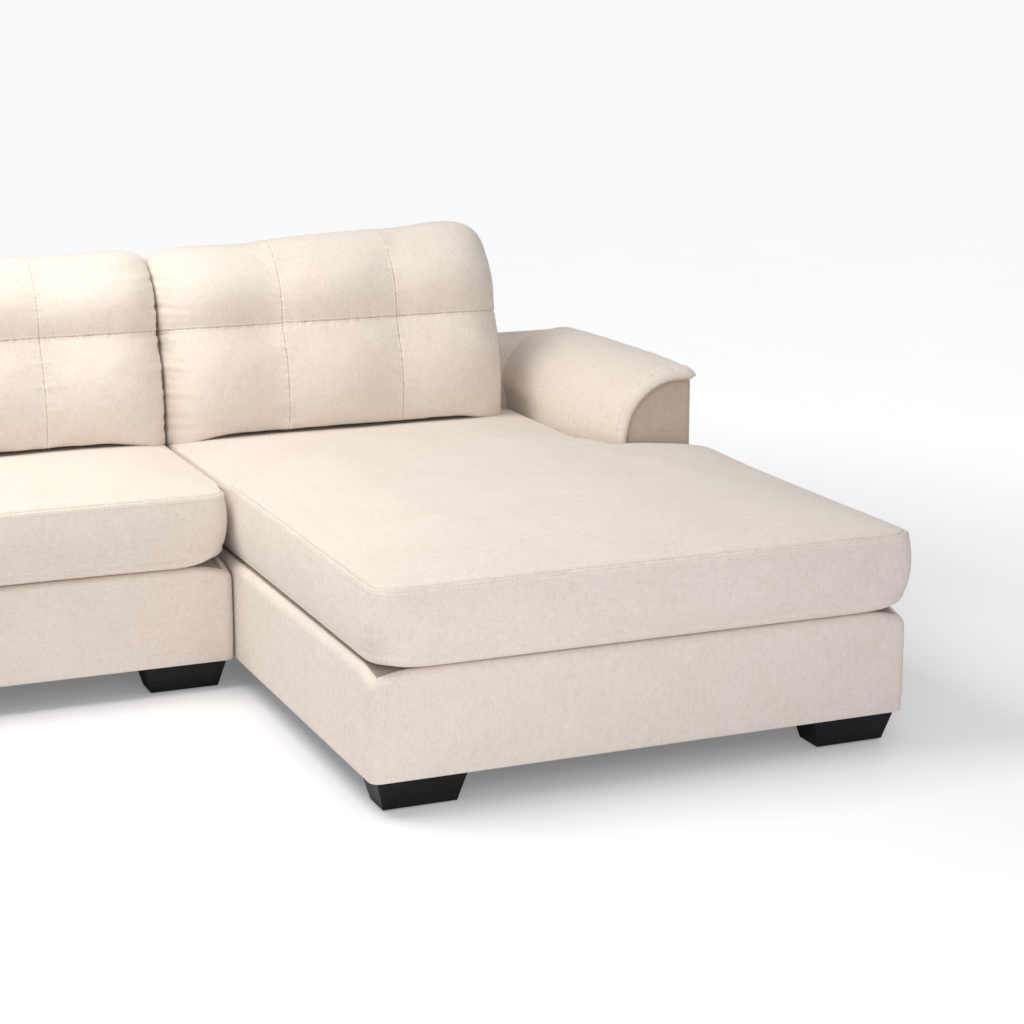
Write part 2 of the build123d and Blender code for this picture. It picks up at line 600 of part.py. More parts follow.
def link_plates():
    """Joggled plates under the sofa's end rail whose pins stand up through plates under the chaise's rail."""
    half = SCREW_SPACING / 2
    with BuildPart() as plates:
        for _, y in LINKS["sofa"]:
            with BuildSketch(Plane.XZ.offset(-y - LINK_WIDTH / 2)):
                with BuildLine():
                    Polyline(
                        (SOFA_RIGHT - LINK_REACH - BORDER, LEG_HEIGHT),
                        (SOFA_RIGHT, LEG_HEIGHT),
                        (CHAISE_LEFT, LEG_HEIGHT - LINK_PLATE),
                        (CHAISE_LEFT + LINK_REACH + BORDER, LEG_HEIGHT - LINK_PLATE),
                        (CHAISE_LEFT + LINK_REACH + BORDER, LEG_HEIGHT - 2 * LINK_PLATE),
                        (CHAISE_LEFT, LEG_HEIGHT - 2 * LINK_PLATE),
                        (SOFA_RIGHT, LEG_HEIGHT - LINK_PLATE),
                        (SOFA_RIGHT - LINK_REACH - BORDER, LEG_HEIGHT - LINK_PLATE),
                        close=True,
                    )
                make_face()
            extrude(amount=LINK_WIDTH)
        with BuildSketch(Plane.XY.offset(LEG_HEIGHT - LINK_PLATE)):
            with Locations(*[(CHAISE_LINK_X, y) for _, y in LINKS["chaise"]]):
                Circle(PIN_DIAMETER / 2)
        extrude(amount=PIN_HEIGHT)
        with BuildSketch(Plane.XY.offset(LEG_HEIGHT)):
            for _, y in LINKS["sofa"]:
                with Locations((SOFA_LINK_X, y - half), (SOFA_LINK_X, y + half)):
                    Circle(SCREW_DIAMETER / 2 + FIT)
        extrude(amount=-2 * LINK_PLATE, mode=Mode.SUBTRACT)
        with BuildSketch(Plane.XY.offset(LEG_HEIGHT - LINK_PLATE)):
            for _, y in LINKS["sofa"]:
                with Locations((CHAISE_LINK_X, y - half), (CHAISE_LINK_X, y + half)):
                    Circle(SCREW_HEAD_DIAMETER / 2 + FIT)
        extrude(amount=-LINK_PLATE, mode=Mode.SUBTRACT)
    save(plates, "link_plates")

    with BuildPart() as receivers:
        with BuildSketch(Plane.XY.offset(LEG_HEIGHT - LINK_PLATE)):
            for _, y in LINKS["chaise"]:
                with Locations((CHAISE_LINK_X, y)):
                    Rectangle(2 * RAIL, LINK_WIDTH)
                    Circle(PIN_DIAMETER / 2 + PIN_CLEARANCE, mode=Mode.SUBTRACT)
                with Locations((CHAISE_LINK_X, y - half), (CHAISE_LINK_X, y + half)):
                    Circle(SCREW_DIAMETER / 2 + FIT, mode=Mode.SUBTRACT)
        extrude(amount=LINK_PLATE)
    save(receivers, "receiver_plates")

    for name, link_x in (("sofa", SOFA_LINK_X), ("chaise", CHAISE_LINK_X)):
        head_top = LEG_HEIGHT - LINK_PLATE
        places = []
        for _, y in LINKS[name]:
            places += [(link_x, y - half), (link_x, y + half)]
        with BuildPart() as screws:
            with BuildSketch(Plane.XY.offset(head_top - SCREW_HEAD_HEIGHT)):
                with Locations(*places):
                    Circle(SCREW_HEAD_DIAMETER / 2)
            extrude(amount=SCREW_HEAD_HEIGHT)
            with BuildSketch(Plane.XY.offset(head_top)):
                with Locations(*places):
                    Circle(SCREW_DIAMETER / 2)
            extrude(amount=SCREW_LENGTH)
        save(screws, f"{name}_link_screws")


# Where the linking plates sit, under the two end rails that face each other
SOFA_LINK_X = SOFA_RIGHT - BORDER - RAIL / 2
CHAISE_LINK_X = CHAISE_LEFT + BORDER + RAIL / 2
LINK_CUT = 2 * (LINK_REACH + BORDER + FIT)
LINK_ROWS = (
    SOFA_FRONT + BORDER + RAIL + LINK_END_INSET + LINK_WIDTH,
    REAR - BORDER - RAIL - LINK_END_INSET - LINK_WIDTH,
)
LINKS = {
    "sofa": [(SOFA_RIGHT, y) for y in LINK_ROWS],
    "chaise": [(CHAISE_LEFT, y) for y in LINK_ROWS],
}


def base(name, x, y, outer_x, cross_rails, link_x):
    """Base of a module: borders, rails, leg blocks, legs and dust cover."""
    inner_x = (x[0] + BORDER, x[1] - BORDER)
    rail_z = (LEG_HEIGHT, RAIL_TOP)
    borders(name, x, y, outer_x)
    boards(f"{name}_front_rail", [(inner_x, (y[0] + BORDER, y[0] + BORDER + RAIL), rail_z)])
    boards(f"{name}_rear_rail", [(inner_x, (y[1] - BORDER - RAIL, y[1] - BORDER), rail_z)])
    side_rails(name, x, y, link_x, LINKS[name])
    cross_x = (x[0] + BORDER + RAIL, x[1] - BORDER - RAIL)
    cross_z = (RAIL_TOP - CROSS_RAIL_HEIGHT, RAIL_TOP)
    boards(f"{name}_cross_rails", [(cross_x, span, cross_z) for span in cross_rails])
    legs(name, x, y)
    dust_cover(name, x, y)


# Sofa module
sofa_x = (SOFA_LEFT, SOFA_RIGHT)
sofa_y = (SOFA_FRONT, REAR)
seat_rail_y = (SEAT_RAIL_FRONT, SEAT_RAIL_FRONT + RAIL)
base("sofa", sofa_x, sofa_y, SOFA_LEFT, [seat_rail_y], SOFA_LINK_X)

sofa_web_x = (SOFA_ARM_OUTER + ARM_CORE + FIT, SOFA_RIGHT - BORDER)
seat_webbing("sofa", sofa_web_x, (SOFA_FRONT + BORDER, SEAT_RAIL_FRONT + RAIL))

deck_rear = back_line(BASE_TOP, STRAP + INSIDE_BACK + SOFT_GAP)
deck_z = (BASE_TOP - DECK, BASE_TOP)
boards(
    "sofa_deck_pad",
    [(sofa_web_x, (SOFA_FRONT + BORDER, deck_rear), deck_z)],
)
back("sofa", sofa_x, (SOFA_ARM_OUTER, SOFA_RIGHT), (SOFA_ARM_OUTER + BORDER, SOFA_RIGHT))
arm("sofa", -1, SOFA_ARM_OUTER, SOFA_ARM_FRONT)

seat_rear = back_line(SEAT_SEAM, STRAP + INSIDE_BACK + SOFT_GAP) - BACK_SLOPE * SEAT_BOXING
sofa_seat_right = SOFA_RIGHT - SOFT_GAP / 2
sofa_seat_front = SOFA_FRONT - SEAT_OVERHANG
seat_cushion(
    "sofa",
    [
        (SOFA_SEAT_LEFT, sofa_seat_front, 1, 1),
        (sofa_seat_right, sofa_seat_front, -1, 1),
        (sofa_seat_right, seat_rear, -1, -1),
        (SOFA_SEAT_LEFT, seat_rear, 1, -1),
    ],
    None,
)
back_cushion(
    "sofa",
    (SOFA_SEAT_LEFT + SOFA_BACK_GAP, sofa_seat_right),
    (SOFA_PILLOW_HEIGHT, SOFA_PILLOW_HEIGHT),
    inner_first=False,
)

# Chaise module
chaise_x = (CHAISE_LEFT, CHAISE_RIGHT)
chaise_y = (CHAISE_FRONT, REAR)
bay = (SEAT_RAIL_FRONT - CHAISE_FRONT - BORDER) / CHAISE_BAYS
cross_rails = [seat_rail_y]
for row in range(1, CHAISE_BAYS):
    cross_start = CHAISE_FRONT + BORDER + row * bay
    cross_rails.append((cross_start, cross_start + RAIL))
base("chaise", chaise_x, chaise_y, CHAISE_RIGHT, cross_rails, CHAISE_LINK_X)

chaise_web_x = (CHAISE_LEFT + BORDER, CHAISE_ARM_OUTER - ARM_CORE - FIT)
seat_webbing("chaise", chaise_web_x, (CHAISE_FRONT + BORDER, SEAT_RAIL_FRONT + RAIL))

with BuildPart() as chaise_deck:
    with BuildSketch(Plane.XY.offset(deck_z[0])):
        with BuildLine():
            Polyline(
                (CHAISE_LEFT + BORDER, CHAISE_FRONT + BORDER),
                (CHAISE_RIGHT - BORDER, CHAISE_FRONT + BORDER),
                (CHAISE_RIGHT - BORDER, CHAISE_ARM_FRONT + ARM_FACE - FIT),
                (chaise_web_x[1], CHAISE_ARM_FRONT + ARM_FACE - FIT),
                (chaise_web_x[1], deck_rear),
                (CHAISE_LEFT + BORDER, deck_rear),
                close=True,
            )
        make_face()
    extrude(amount=DECK)
save(chaise_deck, "chaise_deck_pad")
back("chaise", chaise_x, (CHAISE_LEFT, CHAISE_ARM_OUTER), (CHAISE_LEFT, CHAISE_ARM_OUTER - BORDER))
arm("chaise", 1, CHAISE_ARM_OUTER, CHAISE_ARM_FRONT)

chaise_seat_left = CHAISE_LEFT + SOFT_GAP / 2
chaise_seat_right = CHAISE_RIGHT + SEAT_OVERHANG
chaise_seat_front = CHAISE_FRONT - SEAT_OVERHANG
notch_y = CHAISE_ARM_FRONT - ARM_PAD_PROUD - SOFT_GAP
seat_cushion(
    "chaise",
    [
        (chaise_seat_left, chaise_seat_front, 1, 1),
        (chaise_seat_right, chaise_seat_front, -1, 1),
        (chaise_seat_right, notch_y, -1, -1),
        (CHAISE_SEAT_RIGHT, notch_y, -1, -1),
        (CHAISE_SEAT_RIGHT, seat_rear, -1, -1),
        (chaise_seat_left, seat_rear, 1, -1),
    ],
    (CHAISE_SEAT_RIGHT, notch_y),
)
back_cushion(
    "chaise",
    (chaise_seat_left, CHAISE_SEAT_RIGHT - CHAISE_BACK_GAP),
    (CHAISE_PILLOW_INNER_HEIGHT, CHAISE_PILLOW_OUTER_HEIGHT),
    inner_first=True,
)

# Links between the modules
link_plates()
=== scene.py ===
from math import radians

import bmesh
import bpy
import numpy as np
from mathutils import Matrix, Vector, kdtree
from mathutils.bvhtree import BVHTree


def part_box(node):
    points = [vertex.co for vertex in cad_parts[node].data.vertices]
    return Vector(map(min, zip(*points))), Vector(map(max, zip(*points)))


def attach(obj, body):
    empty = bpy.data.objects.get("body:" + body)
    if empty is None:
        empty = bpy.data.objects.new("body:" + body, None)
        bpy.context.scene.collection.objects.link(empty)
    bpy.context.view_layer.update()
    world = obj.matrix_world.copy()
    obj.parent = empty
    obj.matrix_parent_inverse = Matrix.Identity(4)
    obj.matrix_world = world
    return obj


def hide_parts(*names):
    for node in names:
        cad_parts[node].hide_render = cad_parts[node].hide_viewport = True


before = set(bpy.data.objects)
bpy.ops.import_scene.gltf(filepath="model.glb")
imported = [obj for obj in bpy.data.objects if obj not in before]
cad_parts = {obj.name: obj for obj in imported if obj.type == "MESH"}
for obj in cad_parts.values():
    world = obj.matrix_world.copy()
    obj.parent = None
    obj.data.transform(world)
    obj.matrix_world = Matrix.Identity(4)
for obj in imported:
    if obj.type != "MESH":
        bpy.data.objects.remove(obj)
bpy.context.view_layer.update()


# Timber carcass: rails, blocks, arm boards and the leaning back frame.
# Planed softwood and birch ply, glued and stapled, hidden once the sofa is covered.
def node(tree, kind, inputs=None, **settings):
    """Adds a shader node, sets its options, and links or sets its inputs."""
    made = tree.nodes.new(kind)
    for key, value in settings.items():
        setattr(made, key, value)
    for key, value in (inputs or {}).items():
        if isinstance(value, bpy.types.NodeSocket):
            tree.links.new(value, made.inputs[key])
        else:
            made.inputs[key].default_value = value
    return made


def colour(code):
    """A colour written as rrggbb, in linear light."""
    parts = [int(code[k:k + 2], 16) / 255 for k in (0, 2, 4)]
    return [p / 12.92 if p < 0.04045 else ((p + 0.055) / 1.055) ** 2.4 for p in parts] + [1.0]


def finish(name):
    """A new material with an empty tree, and the Object coordinates of the piece it is put on."""
    material = bpy.data.materials.new(name)
    material.use_nodes = True
    tree = material.node_tree
    tree.nodes.clear()
    return material, tree, node(tree, "ShaderNodeTexCoord").outputs["Object"]


def noise(tree, place, scale, detail=2.0, rough=0.5):
    """Noise that may be stretched: scale is the grains per metre along X, Y and Z."""
    mapped = node(tree, "ShaderNodeMapping", {"Vector": place, "Scale": scale})
    return node(
        tree, "ShaderNodeTexNoise",
        {"Vector": mapped.outputs["Vector"], "Scale": 1.0, "Detail": detail, "Roughness": rough},
    ).outputs["Fac"]


def ramp(tree, fac, *stops):
    """A colour ramp with stops of (place, colour)."""
    made = node(tree, "ShaderNodeValToRGB", {"Fac": fac})
    while len(made.color_ramp.elements) < len(stops):
        made.color_ramp.elements.new(0.5)
    for element, (at, code) in zip(made.color_ramp.elements, stops):
        element.position = at
        element.color = colour(code)
    return made.outputs["Color"]


def sums(tree, kind, a, b):
    """One Math node on two values."""
    return node(tree, "ShaderNodeMath", {0: a, 1: b}, operation=kind).outputs["Value"]


def bump(tree, height, strength, depth):
    """The normal of a surface with that height on it, depth in metres."""
    return node(
        tree, "ShaderNodeBump", {"Height": height, "Strength": strength, "Distance": depth}
    ).outputs["Normal"]


def surface(tree, inputs):
    """Ends the tree in a Principled shader with these inputs."""
    shader = node(tree, "ShaderNodeBsdfPrincipled", inputs)
    node(tree, "ShaderNodeOutputMaterial", {"Surface": shader.outputs["BSDF"]})


def dress(material, *endings):
    """Puts a material on every CAD node whose name ends that way."""
    for name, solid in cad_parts.items():
        if name.endswith(endings):
            solid.data.materials.clear()
            solid.data.materials.append(material)


timber, tree, place = finish("planed_timber")
grain = noise(tree, place, (4, 70, 70), 4.0, 0.6)
surface(tree, {
    "Base Color": ramp(tree, grain, (0.3, "B98F5E"), (0.55, "D2AE7C"), (0.75, "DDBE90")),
    "Roughness": 0.62,
    "Normal": bump(tree, grain, 0.25, 0.0006),
})
dress(timber, "_arm_frame", "_back_frame", "_rails", "_rail", "_leg_blocks")


# Leg bolts, link plates and their screws: pressed and turned steel, zinc plated.
# The plates hook the two modules together under the bases.
zinc, tree, place = finish("zinc_plate")
spangle = noise(tree, place, (160, 160, 160), 3.0, 0.6)
surface(tree, {
    "Base Color": ramp(tree, spangle, (0.35, "8F9396"), (0.65, "B9BDC0")),
    "Metallic": 1.0,
    "Roughness": sums(tree, "ADD", sums(tree, "MULTIPLY", spangle, 0.3), 0.25),
    "Normal": bump(tree, spangle, 0.1, 0.0002),
})
dress(zinc, "_leg_bolts", "_link_screws", "link_plates", "receiver_plates")


# Seat and back webbing: elastic strapping stretched over the rails and stapled.
# Black rubber-cored polypropylene with a pale stripe of twill in it.
strap, tree, place = finish("elastic_webbing")
twill = noise(tree, place, (700, 700, 90), 2.0)
surface(tree, {
    "Base Color": ramp(tree, twill, (0.35, "26262A"), (0.65, "4B4A4C")),
    "Roughness": 0.85,
    "Normal": bump(tree, twill, 0.6, 0.0005),
})
dress(strap, "_seat_webbing", "_back_webbing")


# Dust covers: black spun-bonded lining stapled under each base.
# Thin and matt, with the faint pressed dots of the cloth.
lining, tree, place = finish("dust_lining")
fibre = noise(tree, place, (450, 450, 450), 3.0, 0.7)
surface(tree, {
    "Base Color": ramp(tree, fibre, (0.3, "141416"), (0.7, "242427")),
    "Roughness": 0.95,
    "Normal": bump(tree, fibre, 0.5, 0.0004),
})
dress(lining, "_dust_cover")


# Legs: tapered hardwood blocks, stained black and lacquered, one bolt each into the base.
# Their arrises are broken by the sander, so every edge carries a small round.
LEG_ARRIS = 0.003

stain, tree, place = finish("black_stain")
pores = noise(tree, place, (18, 160, 160), 4.0, 0.65)
surface(tree, {
    "Base Color": ramp(tree, pores, (0.3, "070606"), (0.7, "141010")),
    "Roughness": 0.5,
    "Specular IOR Level": 0.3,
    "Normal": bump(tree, pores, 0.2, 0.0004),
})
dress(stain, "_leg_front_left", "_leg_front_right", "_leg_rear_left", "_leg_rear_right")
for name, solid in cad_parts.items():
    if name.endswith(("_left", "_right")):
        weld = solid.modifiers.new("joined", "WELD")
        weld.merge_threshold = 0.00005
        arris = solid.modifiers.new("arris", "BEVEL")
        arris.width = LEG_ARRIS
        arris.segments = 3
        arris.angle_limit = radians(50)


# Glides: black nylon pads nailed under the feet.
# Moulded, faintly grained, scuffed a little paler where they slide.
nylon, tree, place = finish("glide_nylon")
scuff = noise(tree, place, (120, 120, 120), 4.0, 0.7)
surface(tree, {
    "Base Color": ramp(tree, scuff, (0.4, "1A1A1B"), (0.75, "3A3A3C")),
    "Roughness": 0.55,
    "Normal": bump(tree, scuff, 0.2, 0.0003),
})
dress(nylon, "_leg_glides")


# Base borders: ply sides wrapped in thin wadding and the cover cloth, one wrap for each module.
# The cloth runs round the front corners without a seam and is stapled under the base and behind.
BASE_LOW = 0.067
BASE_TOP = 0.280
BORDER = 0.018
REAR = 0.8605
CORNER_ROUND = 0.020
WRAP_SWELL = 0.0022
WRAP_UNEVEN = 0.0006
CORNER_GATHER = 0.0030
CORNER_WEAR = (0.016, 0.045)
TOP_ROLL = 0.0175
PLY_GAP = 0.0005
EDGE_ROUND = 0.004
SOFA = (-1.129, -0.039, 0.0305)
CHAISE = (-0.035, 1.113, -0.8445)
MODULES = (("sofa", SOFA), ("chaise", CHAISE))
JOINT = -0.037


def cover_cloth(name, dark, middle, light):
    """The cover cloth: a plain weave of uneven yarns with a short soft nap, in three close tones."""
    material, tree, place = finish(name)
    cloud = noise(tree, place, (6, 6, 6), 3.0)
    nap = noise(tree, place, (34, 34, 34), 4.0, 0.6)
    slub_across = noise(tree, place, (75, 430, 430), 2.0)
    slub_along = noise(tree, place, (430, 75, 75), 2.0)
    warp = noise(tree, place, (1500, 120, 120), 1.0)
    weft = noise(tree, place, (120, 1500, 1500), 1.0)
    weave = sums(tree, "ADD", warp, weft)
    slubs = sums(tree, "ADD", slub_across, slub_along)
    tone = sums(tree, "MULTIPLY", slubs, 0.20)
    for part, share in ((weave, 0.18), (nap, 0.11), (cloud, 0.11)):
        tone = sums(tree, "ADD", tone, sums(tree, "MULTIPLY", part, share))
    surface(tree, {
        "Base Color": ramp(tree, tone, (0.40, dark), (0.50, middle), (0.60, light)),
        "Roughness": 0.92,
        "Specular IOR Level": 0.25,
        "Sheen Weight": 0.25,
        "Sheen Roughness": 0.45,
        "Normal": bump(tree, sums(tree, "ADD", weave, slubs), 0.45, 0.0005),
    })
    return material


cover = cover_cloth("cover_cloth", "DFD3C7", "E9DED3", "F0E7DD")


def alone(piece):
    """Selects one piece and makes it the active one."""
    bpy.ops.object.select_all(action="DESELECT")
    piece.select_set(True)
    bpy.context.view_layer.objects.active = piece


def block(name, low, high):
    """A cube that fills the box from low to high, with its place and size in its mesh."""
    bpy.ops.object.select_all(action="DESELECT")
    bpy.ops.mesh.primitive_cube_add(size=1.0)
    piece = bpy.context.object
    piece.name = piece.data.name = name
    piece.location = (Vector(low) + Vector(high)) / 2
    piece.scale = Vector(high) - Vector(low)
    bpy.ops.object.transform_apply()
    return piece


def choose(piece, kind, rule):
    """Opens the piece for editing with the faces, edges or corners that pass the rule selected."""
    if bpy.context.mode != "OBJECT":
        bpy.ops.object.mode_set(mode="OBJECT")
    alone(piece)
    bpy.ops.object.mode_set(mode="EDIT")
    bpy.ops.mesh.select_mode(type=kind)
    bpy.ops.mesh.select_all(action="DESELECT")
    bpy.ops.object.mode_set(mode="OBJECT")
    mesh = piece.data
    if kind == "FACE":
        for face in mesh.polygons:
            face.select = rule(face.center, face.normal)
    elif kind == "EDGE":
        for edge in mesh.edges:
            edge.select = rule(*[mesh.vertices[k].co for k in edge.vertices])
    else:
        for corner in mesh.vertices:
            corner.select = rule(corner.co)
    bpy.ops.object.mode_set(mode="EDIT")


def done():
    """Closes the edit."""
    bpy.ops.object.mode_set(mode="OBJECT")


def modify(piece, kind, **settings):
    """Adds a modifier and applies it."""
    alone(piece)
    made = piece.modifiers.new(kind.lower(), kind)
    for key, value in settings.items():
        setattr(made, key, value)
    bpy.ops.object.modifier_apply(modifier=made.name)


def points_of(piece):
    """The piece's corners as rows of X, Y and Z."""
    flat = np.empty(len(piece.data.vertices) * 3)
    piece.data.vertices.foreach_get("co", flat)
    return flat.reshape(-1, 3)


def put_points(piece, points):
    """Moves the piece's corners to these places."""
    piece.data.vertices.foreach_set("co", points.ravel())
    piece.data.update()


def normals_of(piece):
    """The outward direction at each corner."""
    flat = np.empty(len(piece.data.vertices) * 3)
    piece.data.vertex_normals.foreach_get("vector", flat)
    return flat.reshape(-1, 3)


def ease(value, start, end):
    """Goes smoothly from 0 at start to 1 at end."""
    t = np.clip((value - start) / (end - start), 0, 1)
    return t * t * (3 - 2 * t)


def ripple(along, pitch, turn):
    """An uneven wave along a seam, between -1 and 1, the same each run."""
    waves = ((1.0, 0.0), (1.73, 1.9), (0.61, 4.1), (2.57, 0.7))
    return sum(np.sin(2 * np.pi * along * rate / pitch + shift + turn) for rate, shift in waves) / 3.0


def give(piece, body, material, slot, *nodes):
    """Covers the piece, smooths it, and sets it in the place of its CAD nodes."""
    piece.data.materials.clear()
    piece.data.materials.append(material)
    alone(piece)
    bpy.ops.object.shade_smooth_by_angle(angle=radians(40))
    if nodes:
        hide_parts(*nodes)
    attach(piece, body)


def corner_drop(points, module, deep, wide):
    """How far a module's front corners are worn down at each point, most at the corner itself."""
    x_low, x_high, y_front = module
    near = np.minimum(
        np.hypot(points[:, 0] - x_low, points[:, 1] - y_front),
        np.hypot(points[:, 0] - x_high, points[:, 1] - y_front),
    )
    return deep * np.exp(-(near / wide) ** 2)


for module, sides in MODULES:
    x_low, x_high, y_front = sides
    outer = x_low if module == "sofa" else x_high
    wrap = block(f"{module}_border_wrap", (x_low, y_front, BASE_LOW), (x_high, REAR - BORDER, BASE_TOP))
    choose(wrap, "FACE", lambda c, n: abs(n.z) > 0.9 or n.y > 0.9)
    bpy.ops.mesh.delete(type="FACE")
    choose(wrap, "VERT", lambda c: c.y > REAR - 2 * BORDER and abs(c.x - outer) < 0.001)
    bpy.ops.transform.translate(value=(0, BORDER, 0))
    choose(wrap, "EDGE", lambda a, b: max(a.y, b.y) < y_front + 0.001 and abs(a.x - b.x) < 0.001)
    bpy.ops.mesh.bevel(offset=CORNER_ROUND, segments=8, affect="EDGES")
    choose(wrap, "EDGE", lambda a, b: abs(a.z - b.z) > 0.1)
    bpy.ops.mesh.subdivide(number_cuts=22)
    choose(wrap, "EDGE", lambda a, b: min(a.z, b.z) > BASE_TOP - TOP_ROLL - 0.006 and abs(a.z - b.z) > 0.004)
    bpy.ops.mesh.subdivide(number_cuts=3)
    choose(wrap, "EDGE", lambda a, b: (a - b).length > 0.3)
    bpy.ops.mesh.subdivide(number_cuts=80)
    done()
    points, outward = points_of(wrap), normals_of(wrap)
    height = (points[:, 2] - BASE_LOW) / (BASE_TOP - BASE_LOW)
    belly = np.maximum(4 * height * (1 - height), 0)
    run = points[:, 0] + points[:, 1]
    swell = WRAP_SWELL * belly ** 0.5
    swell += WRAP_UNEVEN * belly * ripple(run, 0.23, 0.4) * ripple(points[:, 2], 0.11, 1.3)
    corner = np.hypot(points[:, 0] - x_low, points[:, 1] - y_front)
    swell += CORNER_GATHER * ripple(run, 0.030, 2.2) * np.exp(-corner / 0.04) * ease(height, 0.45, 0.9)
    joined = (np.abs(points[:, 0] - JOINT) < 0.003) * ease(points[:, 1], SOFA[2] - 0.06, SOFA[2] - 0.01)
    swell *= 1 - joined
    rise = np.clip((points[:, 2] - BASE_TOP + TOP_ROLL) / TOP_ROLL, 0, 1)
    swell -= TOP_ROLL * (1 - np.sqrt(1 - rise ** 2))
    outward[points[:, 1] > REAR - 2 * BORDER] *= 0.0
    points = points + outward * swell[:, None]
    points[:, 2] -= corner_drop(points, sides, *CORNER_WEAR) * ease(height, 0.4, 1.0)
    put_points(wrap, points)
    modify(wrap, "SOLIDIFY", thickness=BORDER - PLY_GAP, offset=-1.0, use_even_offset=True)
    modify(wrap, "BEVEL", width=EDGE_ROUND, segments=3, angle_limit=radians(50))
    give(wrap, f"{module}_module", cover, "cover_fabric", f"{module}_front_border", f"{module}_side_borders")


# Deck pads: needled felt on the webbing, under the seat cushions.
# Grey-beige felt with pressed edges, seen only when a cushion is drawn forward.
DECK_VOXEL = 0.008
DECK_WEAR = (0.024, 0.06)

felt, tree, place = finish("deck_felt")
tuft = noise(tree, place, (260, 260, 260), 4.0, 0.7)
patch = noise(tree, place, (14, 14, 14), 3.0)
surface(tree, {
    "Base Color": ramp(tree, tuft, (0.35, "A89E92"), (0.65, "C6BCB0")),
    "Roughness": 0.96,
    "Sheen Weight": 0.2,
    "Normal": bump(tree, sums(tree, "ADD", tuft, patch), 0.7, 0.0012),
})


def copy_of(name, node_name):
    """A copy of a CAD solid as a new object of its own, with its doubled corners merged."""
    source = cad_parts[node_name]
    piece = bpy.data.objects.new(name, source.data.copy())
    piece.data.name = name
    piece.data.transform(source.matrix_world)
    bpy.context.scene.collection.objects.link(piece)
    choose(piece, "VERT", lambda c: True)
    bpy.ops.mesh.remove_doubles(threshold=0.00005)
    done()
    return piece


for module, sides in MODULES:
    deck = copy_of(f"{module}_deck", f"{module}_deck_pad")
    modify(deck, "REMESH", mode="VOXEL", voxel_size=DECK_VOXEL)
    modify(deck, "SMOOTH", factor=0.5, iterations=3)
    points = points_of(deck)
    points[:, 2] -= corner_drop(points, sides, *DECK_WEAR) * ease(points[:, 2], 0.262, 0.276)
    put_points(deck, points)
    give(deck, f"{module}_module", felt, "deck_felt", f"{module}_deck_pad")


# Back covers: wadding and cloth taken up the outside back, over the top and down the inside.
# One width of cloth for each module, stapled under the rear rail and behind the deck.
TOP_OF_BACK = 0.608
INSIDE_TOP = 0.7721
INSIDE_FOOT = 0.7152
TOP_ROUND = 0.022
BACK_ENDS = {"sofa": (-1.0925, -0.039), "chaise": (-0.035, 1.0765)}
OUTWARD = {"sofa": -1, "chaise": 1}

for module, hand in OUTWARD.items():
    x_low, x_high = BACK_ENDS[module]
    outer = x_low if module == "sofa" else x_high
    back = block(f"{module}_back_cover", (x_low, INSIDE_TOP, BASE_LOW), (x_high, REAR, TOP_OF_BACK))
    choose(back, "FACE", lambda c, n: abs(n.x) > 0.9 or n.y < -0.9 or n.z < -0.9)
    bpy.ops.mesh.delete(type="FACE")
    choose(back, "EDGE", lambda a, b: max(a.y, b.y) < INSIDE_TOP + 0.001)
    bpy.ops.mesh.extrude_region_move(
        TRANSFORM_OT_translate={"value": (0, INSIDE_FOOT - INSIDE_TOP, BASE_TOP + 0.001 - TOP_OF_BACK)}
    )
    choose(back, "EDGE", lambda a, b: min(a.z, b.z) > TOP_OF_BACK - 0.001 and abs(a.x - b.x) > 0.5)
    bpy.ops.mesh.bevel(offset=TOP_ROUND, segments=8, affect="EDGES")
    choose(back, "EDGE", lambda a, b: abs(a.x - b.x) > 0.5)
    bpy.ops.mesh.subdivide(number_cuts=40)
    choose(back, "EDGE", lambda a, b: abs(a.z - b.z) > 0.2)
    bpy.ops.mesh.subdivide(number_cuts=24)
    below_round = TOP_OF_BACK - TOP_ROUND + 0.0005
    choose(back, "VERT", lambda c: abs(c.x - outer) < 0.001 and c.y > REAR - 0.001 and c.z < below_round)
    bpy.ops.transform.translate(value=(hand * (BORDER + PLY_GAP), 0, 0))
    done()
    modify(back, "SOLIDIFY", thickness=BORDER - PLY_GAP, offset=-1.0, use_even_offset=True)
    modify(back, "BEVEL", width=EDGE_ROUND, segments=3, angle_limit=radians(50))
    give(
        back, f"{module}_module", cover, "cover_fabric",
        f"{module}_outside_back", f"{module}_back_top_pad", f"{module}_inside_back",
    )


# Arm panels: the plain outside panel and the front panel with its quarter-round inner corner.
# Card and wadding under the cover cloth, pushed home behind the rolled edge of the arm pad.
ARM_TOP = 0.599
ARM_ROUND = 0.134
ARM_CORE = 0.166
ARM_FACE = 0.014
FACE_SETBACK = 0.004
PANEL_ROUND = 0.005
ARMS = (("sofa", -1.111, 0.0455), ("chaise", 1.095, 0.0905))

# The arm front panels get a darker copy of the cover cloth: painted shade for the recess under the arm pad's
# rolled edge.
arm_face_shade_cloth = cover_cloth("cover_cloth_painted_shade", "C3B3A5", "CDBEB0", "D6C8BB")

